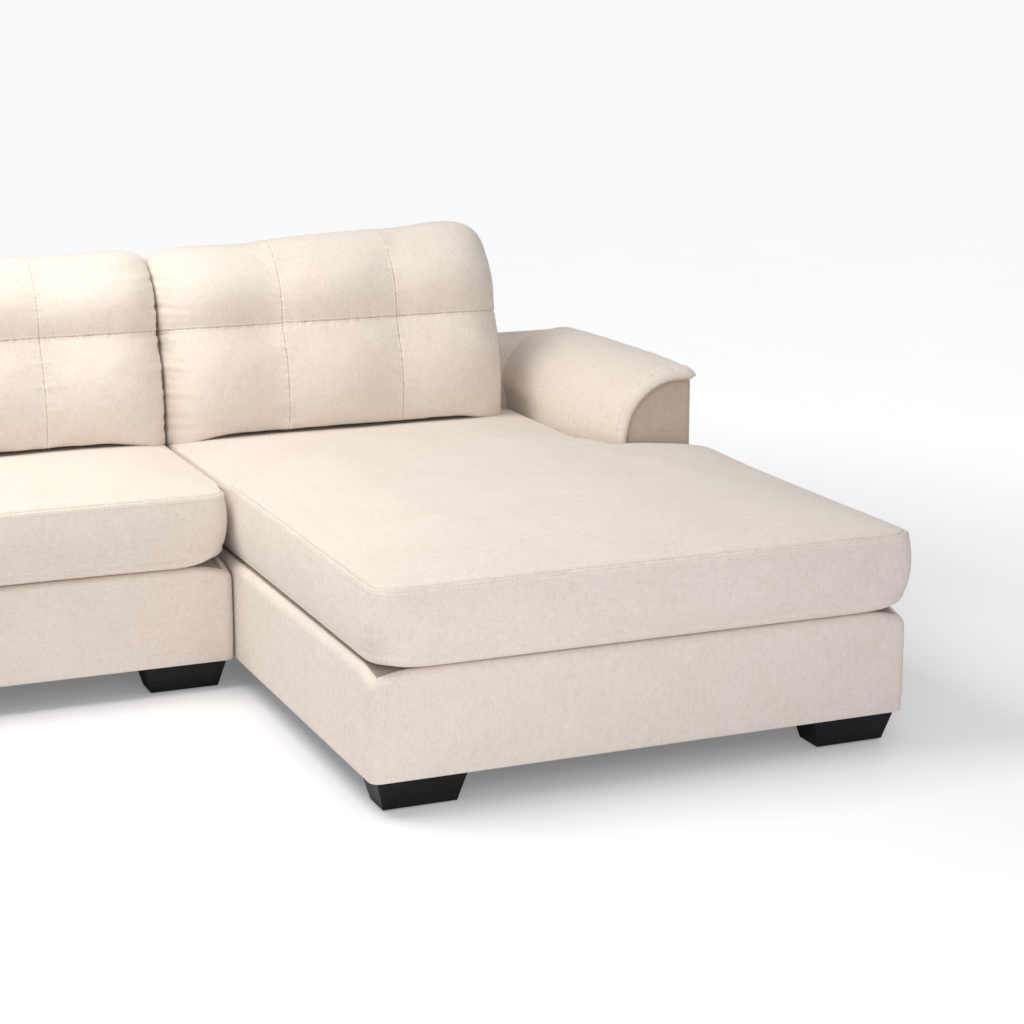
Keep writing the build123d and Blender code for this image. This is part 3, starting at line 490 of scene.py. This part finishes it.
for module, x_outer, y_front in ARMS:
    hand = OUTWARD[module]
    x_board = x_outer - hand * BORDER
    outer_panel = block(
        f"{module}_arm_outside",
        (min(x_outer, x_board), y_front + ARM_FACE, BASE_TOP + PLY_GAP),
        (max(x_outer, x_board), REAR - BORDER - PLY_GAP, ARM_TOP - PLY_GAP),
    )
    modify(outer_panel, "BEVEL", width=PANEL_ROUND, segments=4, angle_limit=radians(50))
    give(outer_panel, f"{module}_module", cover, "cover_fabric", f"{module}_arm_outer_panel")

    x_inner = x_outer - hand * ARM_CORE
    face = block(
        f"{module}_arm_face",
        (min(x_outer, x_inner), y_front + FACE_SETBACK, BASE_TOP + PLY_GAP),
        (max(x_outer, x_inner), y_front + ARM_FACE, ARM_TOP - PLY_GAP),
    )
    at_top = ARM_TOP - 0.001
    choose(face, "EDGE", lambda a, b: min(a.z, b.z) > at_top and abs(a.x + b.x - 2 * x_inner) < 0.001)
    bpy.ops.mesh.bevel(offset=ARM_ROUND, segments=20, affect="EDGES")
    choose(face, "FACE", lambda c, n: n.y < -0.9)
    bpy.ops.mesh.inset(thickness=0.003, depth=0.0)
    bpy.ops.mesh.inset(thickness=0.005, depth=0.006)
    bpy.ops.mesh.inset(thickness=0.006, depth=0.0015)
    choose(face, "FACE", lambda c, n: n.y > 0.9)
    bpy.ops.mesh.inset(thickness=0.003, depth=0.0)
    done()
    give(face, f"{module}_module", arm_face_shade_cloth, "cover_fabric", f"{module}_arm_front_panel")


# Arm pads: foam and wadding over the top and inside of the arm, in one shaped cover.
# The cover ends in a rolled edge proud of the front panel, with a row of stitching behind it.
PAD_VOXEL = 0.006
THREAD_ROUND = 0.0011
STITCH_LONG = 0.0070
STITCH_PITCH = 0.0098
SEAM_BACK = 0.010
STITCH_BACK = 0.018
PAD_GROOVE = 0.0026
PAD_PUCKER = 0.0011
PAD_UNEVEN = 0.0014
FRONT_FULL = 0.007
REAR_FULL = 0.012
PAD_CORD = 0.0009

# A darker copy of the cover cloth for the cords sunk in the seams: painted shade for the dark line in each
# seam.
seam_shade_cloth = cover_cloth("cover_cloth_seam_shade", "C3B4A5", "CDBFB0", "D5C8BA")
thread, tree, place = finish("sewing_thread")
twist = noise(tree, place, (900, 900, 900), 2.0)
surface(tree, {
    "Base Color": ramp(tree, twist, (0.35, "EFE5D8"), (0.65, "FAF3EA")),
    "Roughness": 0.6,
    "Sheen Weight": 0.2,
    "Normal": bump(tree, twist, 0.4, 0.0003),
})


def loops_round(piece, point, normal):
    """The closed lines where a plane cuts the piece, longest first, each in order."""
    cut = bmesh.new()
    cut.from_mesh(piece.data)
    point, normal = Vector(point), Vector(normal).normalized()
    near = [f for f in cut.faces if abs((f.verts[0].co - point).dot(normal)) < 0.05]
    held = list({v for f in near for v in f.verts}) + list({e for f in near for e in f.edges}) + near
    found = bmesh.ops.bisect_plane(cut, geom=held, dist=1e-7, plane_co=point, plane_no=normal)["geom_cut"]
    joins = {}
    for edge in found:
        if isinstance(edge, bmesh.types.BMEdge):
            for a, b in (edge.verts, reversed(edge.verts)):
                joins.setdefault(a, []).append(b)
    loops = []
    while joins:
        at = next(iter(joins))
        loop = []
        while at is not None:
            loop.append(np.array(at.co))
            ways = joins.pop(at)
            at = next((w for w in ways if w in joins), None)
        loops.append(np.array(loop))
    cut.free()
    return sorted(loops, key=len, reverse=True)


def even(line, step, closed=False):
    """The line with its points a step apart."""
    if closed:
        line = np.vstack([line, line[:1]])
    legs = np.linalg.norm(np.diff(line, axis=0), axis=1)
    reach = np.concatenate([[0], np.cumsum(legs)])
    at = np.arange(0, reach[-1], step)
    return np.stack([np.interp(at, reach, line[:, k]) for k in range(3)], axis=1)


def kept_run(loop, rule):
    """The longest unbroken run of the loop's points that pass the rule."""
    good = np.array([bool(rule(p)) for p in loop])
    if good.all():
        return np.vstack([loop, loop[:1]])
    turn = int(np.argmin(good))
    loop, good = np.roll(loop, -turn, axis=0), np.roll(good, -turn)
    runs, start = [], None
    for k, ok in enumerate(np.append(good, False)):
        if ok and start is None:
            start = k
        if not ok and start is not None:
            runs.append(loop[start:k])
            start = None
    return max(runs, key=len)


def surface_of(piece):
    """The piece's surface, to find the nearest place on it."""
    mesh = piece.data
    return BVHTree.FromPolygons([v.co for v in mesh.vertices], [p.vertices for p in mesh.polygons])


def sew(name, piece, lines, body):
    """Stitches along the lines, each a short spindle of thread laid on the piece."""
    bpy.ops.object.select_all(action="DESELECT")
    bpy.ops.mesh.primitive_uv_sphere_add(segments=6, ring_count=4, radius=1.0)
    spindle = bpy.context.object
    shape = points_of(spindle) * (THREAD_ROUND, THREAD_ROUND, STITCH_LONG / 2)
    faces = [list(p.vertices) for p in spindle.data.polygons]
    bpy.data.objects.remove(spindle)
    skin = surface_of(piece)
    places, polygons = [], []
    for line in lines:
        spots = even(line, STITCH_PITCH)
        ways = np.gradient(spots, axis=0)
        for spot, way in zip(spots, ways):
            on, normal, _, _ = skin.find_nearest(Vector(spot))
            along = Vector(way).normalized()
            side = along.cross(normal).normalized()
            up = side.cross(along)
            turned = np.outer(shape[:, 0], side) + np.outer(shape[:, 1], up) + np.outer(shape[:, 2], along)
            polygons += [[k + len(places) * len(shape) for k in face] for face in faces]
            places.append(turned + np.array(on) + np.array(up) * THREAD_ROUND * 0.3)
    mesh = bpy.data.meshes.new(name)
    mesh.from_pydata(np.concatenate(places).tolist(), [], polygons)
    stitching = bpy.data.objects.new(name, mesh)
    bpy.context.scene.collection.objects.link(stitching)
    give(stitching, body, thread, "cover_fabric")
    alone(stitching)
    bpy.ops.object.shade_smooth()
    return stitching


def lay_seam_shade(name, piece, lines, body, round_by):
    """A fine round cord of darker cloth along the lines, half sunk in the piece: painted shade for the dark
    line of a seam.
    """
    skin = surface_of(piece)
    curve = bpy.data.curves.new(name, "CURVE")
    curve.dimensions = "3D"
    curve.bevel_depth = round_by
    curve.bevel_resolution = 1
    for line in lines:
        spots = even(line, 0.012)
        spline = curve.splines.new("POLY")
        spline.points.add(len(spots) - 1)
        for point, spot in zip(spline.points, spots):
            on, normal, _, _ = skin.find_nearest(Vector(spot))
            point.co = (on - normal * round_by * 0.35).to_4d()
    made = bpy.data.objects.new(name, curve)
    bpy.context.scene.collection.objects.link(made)
    alone(made)
    bpy.ops.object.convert(target="MESH")
    cord = bpy.context.object
    cord.name = cord.data.name = name
    give(cord, body, seam_shade_cloth, "cover_fabric")
    return cord


def along_line(points, line, step=0.004):
    """How far each point is from the line, and how far along it the nearest place is."""
    samples = even(line, step)
    tree = kdtree.KDTree(len(samples))
    for k, sample in enumerate(samples):
        tree.insert(sample, k)
    tree.balance()
    found = [tree.find(p) for p in points]
    return np.array([f[2] for f in found]), np.array([f[1] for f in found]) * step


def finer(piece, near):
    """Divides the mesh once more where the mask says, so that a narrow seam has corners to follow."""
    alone(piece)
    bpy.ops.object.mode_set(mode="EDIT")
    bpy.ops.mesh.select_mode(type="VERT")
    bpy.ops.mesh.select_all(action="DESELECT")
    bpy.ops.object.mode_set(mode="OBJECT")
    piece.data.vertices.foreach_set("select", near)
    bpy.ops.object.mode_set(mode="EDIT")
    bpy.ops.mesh.subdivide(number_cuts=1)
    done()


for module, x_outer, y_front in ARMS:
    hand = OUTWARD[module]

    def off_core(p):
        """How far a point lies outside the arm's timber profile."""
        inward, up = hand * (x_outer - p[0]) - ARM_CORE + ARM_ROUND, p[2] - ARM_TOP + ARM_ROUND
        return np.hypot(max(inward, 0), max(up, 0)) - ARM_ROUND

    pad = copy_of(f"{module}_arm_cushion", f"{module}_arm_pad")
    modify(pad, "REMESH", mode="VOXEL", voxel_size=PAD_VOXEL)
    modify(pad, "SMOOTH", factor=0.5, iterations=4)
    modify(pad, "SUBSURF", levels=1, render_levels=1)
    cut = loops_round(pad, (0, y_front + SEAM_BACK, 0), (0, 1, 0))[0]
    seam = kept_run(cut, lambda p: off_core(p) > 0.006)
    gap, _ = along_line(points_of(pad), seam)
    finer(pad, gap < 0.012)
    points, outward = points_of(pad), normals_of(pad)
    gap, run = along_line(points, seam)
    change = -PAD_GROOVE * np.exp(-(gap / 0.0035) ** 2)
    change += PAD_PUCKER * np.exp(-gap / 0.030) * ripple(run, 0.045, 0.3)
    change += PAD_UNEVEN * ripple(points[:, 1], 0.23, 1.0) * ripple(points[:, 0] + points[:, 2], 0.19, 2.0)
    ahead = 1 - ease(points[:, 1], y_front - 0.012, y_front + 0.45)
    change += FRONT_FULL * ahead * ease(points[:, 2], 0.50, ARM_TOP)
    rear = ease(points[:, 1], 0.48, 0.66) * ease(points[:, 2], 0.455, 0.50)
    change += REAR_FULL * rear * (1 - ease(points[:, 2], ARM_TOP - 0.06, ARM_TOP + 0.02))
    change[np.array([off_core(p) < 0.006 for p in points])] = 0
    put_points(pad, points + outward * change[:, None])
    cut = loops_round(pad, (0, y_front + STITCH_BACK, 0), (0, 1, 0))[0]
    row = kept_run(cut, lambda p: off_core(p) > 0.012)
    sew(f"{module}_arm_stitching", pad, [row], f"{module}_module")
    # A darker cord sunk in the seam behind the rolled edge: painted shade.
    lay_seam_shade(f"{module}_arm_seam_shade", pad, [seam], f"{module}_module", PAD_CORD)
    give(pad, f"{module}_module", cover, "cover_fabric", f"{module}_arm_pad")


# Seat cushions: foam in a wadding wrap, loose on the deck, in a boxed cover with a top panel and a border.
# The border is topstitched under its upper seam and again above the lower edge.
SEAT_VOXEL = {"sofa": 0.010, "chaise": 0.012}
SEAT_SEAM = 0.440
SEAT_LOW = 0.2803
LOWER_ROW = 0.3033
TOE_LIFT = {"sofa": 0.030, "chaise": 0.018}
SIM_FRAMES = 14
SIM_PRESSURE = 4.0
CROWN_FILL = 0.012
FRONT_FILL = 0.005
SEAM_GROOVE = 0.0034
SEAM_PUCKER = 0.0013
SEAM_STEP = 0.012
ROW_GROOVE = 0.0022
ROW_PUCKER = 0.0010
TOP_UNEVEN = 0.0018
CORNER_PLEAT = 0.0040
BESIDE_ARM_FULL = 0.023
INNER_SIDE = {"sofa": -0.0385, "chaise": -0.0365}
STITCH_DOWN = 0.008
STITCH_UP = 0.005
SEAT_CORD = 0.0010


def fill(piece, sewn, cap):
    """Blows the cover up with its sewn lines held, then limits how far each point has gone."""
    rest = points_of(piece)
    held = piece.vertex_groups.new(name="sewn")
    for k in np.flatnonzero(sewn):
        held.add([int(k)], 1.0, "REPLACE")
    alone(piece)
    cloth = piece.modifiers.new("filling", "CLOTH")
    cloth.settings.quality = 4
    cloth.settings.use_pressure = True
    cloth.settings.uniform_pressure_force = SIM_PRESSURE
    cloth.settings.effector_weights.gravity = 0.0
    cloth.settings.vertex_group_mass = "sewn"
    cloth.point_cache.frame_start = 1
    cloth.point_cache.frame_end = SIM_FRAMES
    for moment in range(1, SIM_FRAMES + 1):
        bpy.context.scene.frame_set(moment)
    bpy.ops.object.modifier_apply(modifier=cloth.name)
    bpy.context.scene.frame_set(1)
    moved = points_of(piece) - rest
    far = np.linalg.norm(moved, axis=1)
    moved *= np.minimum(1.0, cap / np.maximum(far, 1e-9))[:, None]
    put_points(piece, rest + moved)
    piece.vertex_groups.clear()


def closed(loop):
    """The loop with its first point again at the end."""
    return np.vstack([loop, loop[:1]])


for module, sides in MODULES:
    low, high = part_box(f"{module}_seat_cushion")
    solid = copy_of(f"{module}_seat_form", f"{module}_seat_cushion")
    form = surface_of(solid)
    bpy.data.objects.remove(solid)
    seat = copy_of(f"{module}_seat", f"{module}_seat_cushion")
    modify(seat, "REMESH", mode="VOXEL", voxel_size=SEAT_VOXEL[module])
    modify(seat, "SMOOTH", factor=0.4, iterations=2)
    seam = closed(loops_round(seat, (0, 0, SEAT_SEAM), (0, 0, 1))[0])
    points = points_of(seat)
    gap, _ = along_line(points, seam)
    front = 1 - ease(points[:, 1], low.y + 0.02, low.y + 0.06)
    cap = CROWN_FILL * (1 - ease(points[:, 1], 0.36, 0.50)) * ease(points[:, 2], SEAT_SEAM, SEAT_SEAM + 0.01)
    cap += FRONT_FILL * front * ease(points[:, 2], SEAT_LOW, SEAT_LOW + 0.03)
    fill(seat, (gap < 0.010) | (points[:, 2] < SEAT_LOW + 0.012), cap)
    modify(seat, "SUBSURF", levels=1, render_levels=1)
    points = points_of(seat)
    gap, _ = along_line(points, seam)
    finer(seat, (gap < 0.014) | (np.abs(points[:, 2] - LOWER_ROW) < 0.007))
    points = points_of(seat)
    gap, run = along_line(points, seam)
    for k in np.flatnonzero(gap < 0.03):
        crisp = np.array(form.find_nearest(Vector(points[k]))[0])
        points[k] += (crisp - points[k]) * np.exp(-(gap[k] / 0.014) ** 2)
    put_points(seat, points)
    outward = normals_of(seat)
    below = points[:, 2] < SEAT_SEAM
    change = -SEAM_GROOVE * np.exp(-(gap / 0.0036) ** 2)
    slack = 0.35 + 0.65 * ease(ripple(run, 0.55, 1.2), -0.2, 0.9)
    change += SEAM_PUCKER * slack * np.exp(-gap / 0.035) * ripple(run, 0.085, 0.9) * np.where(below, 1.0, 0.5)
    lower = np.abs(points[:, 2] - LOWER_ROW)
    wall = (np.abs(outward[:, 2]) < 0.85) & below
    change += np.where(wall, -ROW_GROOVE * np.exp(-(lower / 0.0036) ** 2), 0)
    change += np.where(wall, ROW_PUCKER * slack * np.exp(-lower / 0.022) * ripple(run, 0.062, 2.4), 0)
    crown = ease(points[:, 2], SEAT_SEAM, SEAT_SEAM + 0.02)
    change += crown * TOP_UNEVEN * ripple(points[:, 0], 0.31, 0.2) * ripple(points[:, 1], 0.27, 1.1)
    corner = np.hypot(points[:, 0] - low.x, points[:, 1] - low.y)
    slant = points[:, 0] - points[:, 2] * 0.8
    low_down = 1 - ease(points[:, 2], 0.33, 0.42)
    change += CORNER_PLEAT * np.exp(-corner / 0.07) * ripple(slant, 0.042, 1.7) * low_down * below
    change[points[:, 2] < SEAT_LOW + 0.004] = 0
    points = points + outward * change[:, None]
    points[:, 2] = np.maximum(points[:, 2], SEAT_LOW)
    toes = (low.x, high.x, low.y)
    lifted = corner_drop(points, toes, TOE_LIFT[module], 0.060)
    points[:, 2] += lifted * (1 - ease(points[:, 2], SEAT_LOW, SEAT_LOW + 0.13))
    if module == "chaise":
        full = np.exp(-((points[:, 0] - 0.90) / 0.16) ** 2 - ((points[:, 1] - 0.07) / 0.14) ** 2)
        points[:, 2] += BESIDE_ARM_FULL * full * ease(points[:, 2], 0.37, 0.445)
    side = high.x - 0.0005 if module == "sofa" else low.x + 0.0005
    shut = np.exp(-((points[:, 0] - side) / 0.030) ** 2) * ease(points[:, 1], SOFA[2] + 0.03, SOFA[2] + 0.10)
    points[:, 0] += (side - points[:, 0]) * shut * ease(points[:, 2], 0.40, 0.43)
    beside = points[:, 1] > SOFA[2] + 0.02
    points[beside, 0] = np.clip(points[beside, 0], low.x, high.x)
    keep_off = np.maximum if module == "chaise" else np.minimum
    points[:, 0] = keep_off(points[:, 0], INNER_SIDE[module])
    put_points(seat, points)
    groove = gap < 0.003
    span = (run[groove] // SEAM_STEP).astype(int)
    seam = closed(np.array([points[groove][span == k].mean(axis=0) for k in np.unique(span)]))
    levels = (SEAT_SEAM - STITCH_DOWN, LOWER_ROW + STITCH_UP)
    rows = [closed(loops_round(seat, (0, 0, level), (0, 0, 1))[0]) for level in levels]
    sew(f"{module}_seat_stitching", seat, rows, f"{module}_seat")
    # A darker cord sunk in the upper seam of the seat: painted shade.
    lay_seam_shade(f"{module}_seat_seam_shade", seat, [seam], f"{module}_seat", SEAT_CORD)
    give(seat, f"{module}_seat", cover, "cover_fabric", f"{module}_seat_cushion")


# Back cushions: fibre-filled pillows leaning on the back, quilted two by three with twin stitching.
# The seams draw the cover in, most where they cross and where the long seam meets the sides.
BACK_VOXEL = 0.008
LEAN_UP = np.array([0.0, 0.1711, 0.9853])
LEAN_OUT = np.array([0.0, -0.9853, 0.1711])
FOOT = np.array([0.0, 0.7437, 0.446])
SEAM_HEIGHT = 0.232
TWIN = 0.0042
PILLOW_FILL = 0.006
SIDE_PLEAT = 0.0022
TWIN_GROOVE = 0.0020
ACROSS_FILL = 0.0060
UPRIGHT_FILL = 0.0035
PILLOW_PUCKER = 0.0011
CROSS_DIMPLE = 0.0050
END_FAN = 0.0045
END_DIMPLE = 0.0090
PILLOW_UNEVEN = 0.0015
CORNER_SAG = 0.022
PILLOW_CORD = 0.0009

for module in ("sofa", "chaise"):
    low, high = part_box(f"{module}_back_cushion")
    column = (high.x - low.x) / 3
    seam_at = FOOT + LEAN_UP * SEAM_HEIGHT
    cuts = [(seam_at, LEAN_UP)]
    cuts += [(np.array([low.x + column * k, 0, 0]), np.array([1.0, 0, 0])) for k in (1, 2)]

    def front_run(piece, point, normal):
        """The part of a cut that runs over the front of the cushion."""
        loop = loops_round(piece, point, normal)[0]
        return kept_run(loop, lambda p: (p - FOOT) @ LEAN_OUT > 0.085 and p[2] > low.z + 0.014)

    pillow = copy_of(f"{module}_pillow", f"{module}_back_cushion")
    modify(pillow, "REMESH", mode="VOXEL", voxel_size=BACK_VOXEL)
    modify(pillow, "SMOOTH", factor=0.4, iterations=3)
    lines = [front_run(pillow, *cut) for cut in cuts]
    points = points_of(pillow)
    gap = np.min([along_line(points, line)[0] for line in lines], axis=0)
    out = (points - FOOT) @ LEAN_OUT
    sideways = np.minimum(points[:, 0] - low.x, high.x - points[:, 0])
    cap = PILLOW_FILL * ease(out, 0.09, 0.15) * ease(sideways, 0.005, 0.06)
    cap *= ease(points[:, 2], low.z + 0.02, low.z + 0.08)
    seams = (gap < 0.008) & (points[:, 2] < high.z - 0.10)
    fill(pillow, seams | (out < 0.03) | (points[:, 2] < low.z + 0.012), cap)
    modify(pillow, "SUBSURF", levels=1, render_levels=1)
    points = points_of(pillow)
    finer(pillow, np.min([along_line(points, line)[0] for line in lines], axis=0) < 0.011)
    points, outward = points_of(pillow), normals_of(pillow)
    out = (points - FOOT) @ LEAN_OUT
    ends = np.minimum(points[:, 0] - low.x, high.x - points[:, 0])
    inner = points[:, 0] - low.x if module == "chaise" else high.x - points[:, 0]
    body = ease(points[:, 2], low.z + 0.03, low.z + 0.10)
    body *= 1 - ease(points[:, 2], high.z - 0.14, high.z - 0.06)
    change = SIDE_PLEAT * np.exp(-inner / 0.035) * ripple(points[:, 2], 0.052, 0.8) * ease(out, 0.06, 0.12)
    for turn, line in enumerate(lines):
        gap, run = along_line(points, line)
        held = 1 - 0.85 * ease(points[:, 2], high.z - 0.11, high.z - 0.03)
        change -= held * TWIN_GROOVE * np.exp(-(gap / 0.0026) ** 2)
        shallow = ACROSS_FILL if turn == 0 else UPRIGHT_FILL * body
        change += shallow * np.exp(-(gap / 0.030) ** 2) * ease(ends, 0.03, 0.10)
        change += PILLOW_PUCKER * np.exp(-gap / 0.022) * ripple(run, 0.047, 1.1 * turn)
    across = lines[0]
    for upright in lines[1:]:
        crossing = across[np.argmin(np.abs(across[:, 0] - upright[0, 0]))]
        away = np.linalg.norm(points - crossing, axis=1)
        change -= CROSS_DIMPLE * np.exp(-(away / 0.035) ** 2)
    for tip in (across[0], across[-1]):
        away = np.linalg.norm(points - tip, axis=1)
        fan = np.arctan2(points[:, 2] - tip[2], np.abs(points[:, 0] - tip[0]) + 0.01)
        change += END_FAN * np.exp(-away / 0.045) * np.sin(fan * 9.0 + 0.6) * ease(away, 0.0, 0.02)
        change -= END_DIMPLE * np.exp(-(away / 0.026) ** 2)
    uneven = PILLOW_UNEVEN * ripple(points[:, 0], 0.21, 0.2) * ripple(points[:, 2], 0.17, 1.4)
    change += uneven * ease(out, 0.10, 0.16)
    change[out < 0.02] = 0
    points = points + outward * change[:, None]
    by_end, by_foot = 1 - ease(ends, 0.0, 0.16), 1 - ease(points[:, 2], low.z, low.z + 0.12)
    points[:, 2] -= CORNER_SAG * by_end * by_foot * ease(out, 0.0, 0.1)
    points[:, 0] = np.clip(points[:, 0], low.x, high.x)
    put_points(pillow, points)
    rows = [
        front_run(pillow, point + normal * side, normal)
        for point, normal in cuts for side in (-TWIN, TWIN)
    ]
    sew(f"{module}_pillow_stitching", pillow, rows, f"{module}_back_pillow")
    middles = [front_run(pillow, *cut) for cut in cuts]
    # Darker cords sunk in the quilting seams: painted shade.
    lay_seam_shade(f"{module}_pillow_seam_shade", pillow, middles, f"{module}_back_pillow", PILLOW_CORD)
    give(pillow, f"{module}_back_pillow", cover, "cover_fabric", f"{module}_back_cushion")


# Studio: a pale sweep that brightens with distance, soft light all round, a key overhead and a cool fill.
# The camera stands where the photograph was taken from.
FLOOR_SIZE = 400.0
SKY, SKY_SHOWN = 0.50, 0.45
YAW, PITCH = 0.400, 0.234
FOCAL_LENGTH, PICTURE_WIDTH, SENSOR = 2381.9, 1024, 36.0

bpy.ops.object.select_all(action="DESELECT")
bpy.ops.mesh.primitive_plane_add(size=FLOOR_SIZE)
floor = bpy.context.object
floor.name = "floor"
ground, tree, place = finish("pale_floor")
seen = node(tree, "ShaderNodeLightPath").outputs["Is Camera Ray"]
away = node(tree, "ShaderNodeVectorMath", {0: place}, operation="LENGTH").outputs["Value"]
lift = node(
    tree, "ShaderNodeMapRange",
    {"Value": away, "From Min": 1.2, "From Max": 3.6, "To Min": 0.17, "To Max": 0.50},
    interpolation_type="SMOOTHSTEP",
).outputs["Result"]
surface(tree, {
    "Base Color": ramp(tree, noise(tree, place, (3, 3, 3), 2.0), (0.3, "F2F2F5"), (0.7, "F5F5F7")),
    "Roughness": 0.4,
    "Specular IOR Level": 0.3,
    "Emission Color": (1.0, 1.0, 1.0, 1.0),
    "Emission Strength": sums(tree, "MULTIPLY", seen, lift),
})
floor.data.materials.append(ground)

world = bpy.data.worlds.new("studio")
world.use_nodes = True
sky = world.node_tree.nodes["Background"]
sky.inputs["Color"].default_value = (0.98, 0.985, 1.0, 1.0)
seen = node(world.node_tree, "ShaderNodeLightPath").outputs["Is Camera Ray"]
shown = sums(world.node_tree, "ADD", sums(world.node_tree, "MULTIPLY", seen, SKY_SHOWN), SKY)
world.node_tree.links.new(shown, sky.inputs["Strength"])
bpy.context.scene.world = world


def softbox(name, place, towards, size, power, tint):
    """A square studio lamp that looks at a point."""
    bpy.ops.object.light_add(type="AREA", location=place)
    lamp = bpy.context.object
    lamp.name = name
    lamp.rotation_euler = (Vector(towards) - Vector(place)).to_track_quat("-Z", "Y").to_euler()
    lamp.data.size = size
    lamp.data.energy = power
    lamp.data.color = tint


softbox("key", (-0.9, 0.0, 2.5), (0.1, -0.1, 0.4), 1.4, 42.0, (1.0, 0.98, 0.95))
softbox("front_fill", (-0.2, -2.8, 1.0), (0.2, -0.85, 0.3), 1.2, 17.0, (0.97, 0.95, 1.0))

camera_data = bpy.data.cameras.new("camera")
camera = bpy.data.objects.new("camera", camera_data)
bpy.context.scene.collection.objects.link(camera)
camera_data.sensor_width = SENSOR
camera_data.lens = FOCAL_LENGTH * SENSOR / PICTURE_WIDTH
ahead = Vector((np.sin(YAW) * np.cos(PITCH), np.cos(YAW) * np.cos(PITCH), -np.sin(PITCH)))
camera.location = (-1.423, -4.7935, 1.585)
camera.rotation_euler = ahead.to_track_quat("-Z", "Y").to_euler()
bpy.context.scene.camera = camera
bpy.context.scene.view_settings.view_transform = "Standard"
